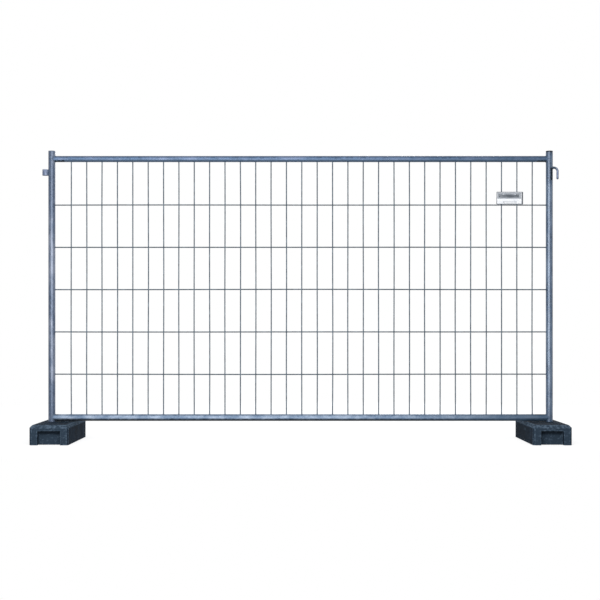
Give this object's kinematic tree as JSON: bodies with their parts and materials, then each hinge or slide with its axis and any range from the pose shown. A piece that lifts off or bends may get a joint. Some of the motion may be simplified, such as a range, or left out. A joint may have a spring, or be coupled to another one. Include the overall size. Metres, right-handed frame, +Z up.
{
  "type": "temporary fence panel",
  "caption": "Free-standing site fence panel: welded round-tube frame with a wire infill, a hook and an eye that couple panels, a small sign plate and heavy socketed feet.",
  "frame": {"origin": "on the ground, under the middle of the panel", "axes": "+X along the fence towards the hook, +Y to the back, +Z up"},
  "size_m": [3.6182, 0.72, 2.012],
  "materials": {
    "galvanised_tube": "weathered blue-grey zinc with a soft sheen",
    "galvanised_wire": "weathered zinc, matt",
    "galvanised_bar": "weathered zinc, satin",
    "cap_plastic": "moulded, matt dark grey",
    "foot_plastic": "moulded recycled plastic, scuffed",
    "sign_backing": "matt dark grey",
    "sign_white": "smooth white sheet",
    "rivet_metal": "bright, slightly worn"
  },
  "bodies": {
    "panel": {"left_upright": "galvanised_tube", "right_upright": "galvanised_tube", "top_rail": "galvanised_tube", "bottom_rail": "galvanised_tube", "coupling_eye": "galvanised_tube", "vertical_wire_01": "galvanised_wire", "vertical_wire_02": "galvanised_wire", "vertical_wire_03": "galvanised_wire", "vertical_wire_04": "galvanised_wire", "vertical_wire_05": "galvanised_wire", "vertical_wire_06": "galvanised_wire", "vertical_wire_07": "galvanised_wire", "vertical_wire_08": "galvanised_wire", "vertical_wire_09": "galvanised_wire", "vertical_wire_10": "galvanised_wire", "vertical_wire_11": "galvanised_wire", "vertical_wire_12": "galvanised_wire", "vertical_wire_13": "galvanised_wire", "vertical_wire_14": "galvanised_wire", "vertical_wire_15": "galvanised_wire", "vertical_wire_16": "galvanised_wire", "vertical_wire_17": "galvanised_wire", "vertical_wire_18": "galvanised_wire", "vertical_wire_19": "galvanised_wire", "vertical_wire_20": "galvanised_wire", "vertical_wire_21": "galvanised_wire", "vertical_wire_22": "galvanised_wire", "vertical_wire_23": "galvanised_wire", "vertical_wire_24": "galvanised_wire", "vertical_wire_25": "galvanised_wire", "vertical_wire_26": "galvanised_wire", "vertical_wire_27": "galvanised_wire", "vertical_wire_28": "galvanised_wire", "vertical_wire_29": "galvanised_wire", "vertical_wire_30": "galvanised_wire", "vertical_wire_31": "galvanised_wire", "horizontal_wire_1": "galvanised_wire", "horizontal_wire_2": "galvanised_wire", "horizontal_wire_3": "galvanised_wire", "horizontal_wire_4": "galvanised_wire", "horizontal_wire_5": "galvanised_wire", "coupling_hook": "galvanised_bar", "left_cap": "cap_plastic", "right_cap": "cap_plastic", "sign_plate": "sign_backing", "sign_face": "sign_white", "sign_bar_lower": "galvanised_bar", "sign_bar_upper": "galvanised_bar", "sign_rivets": "rivet_metal"},
    "left_foot": {"left_foot": "foot_plastic"},
    "right_foot": {"right_foot": "foot_plastic"}
  },
  "joints": [
    {"name": "left_foot_swivel", "type": "hinge", "parent": "panel", "child": "left_foot", "pos_m": [-1.72585, 0, 0.0715], "axis": [0, 0, 1], "continuous": true},
    {"name": "right_foot_swivel", "type": "hinge", "parent": "panel", "child": "right_foot", "pos_m": [1.72585, 0, 0.0715], "axis": [0, 0, 1], "continuous": true}
  ]
}
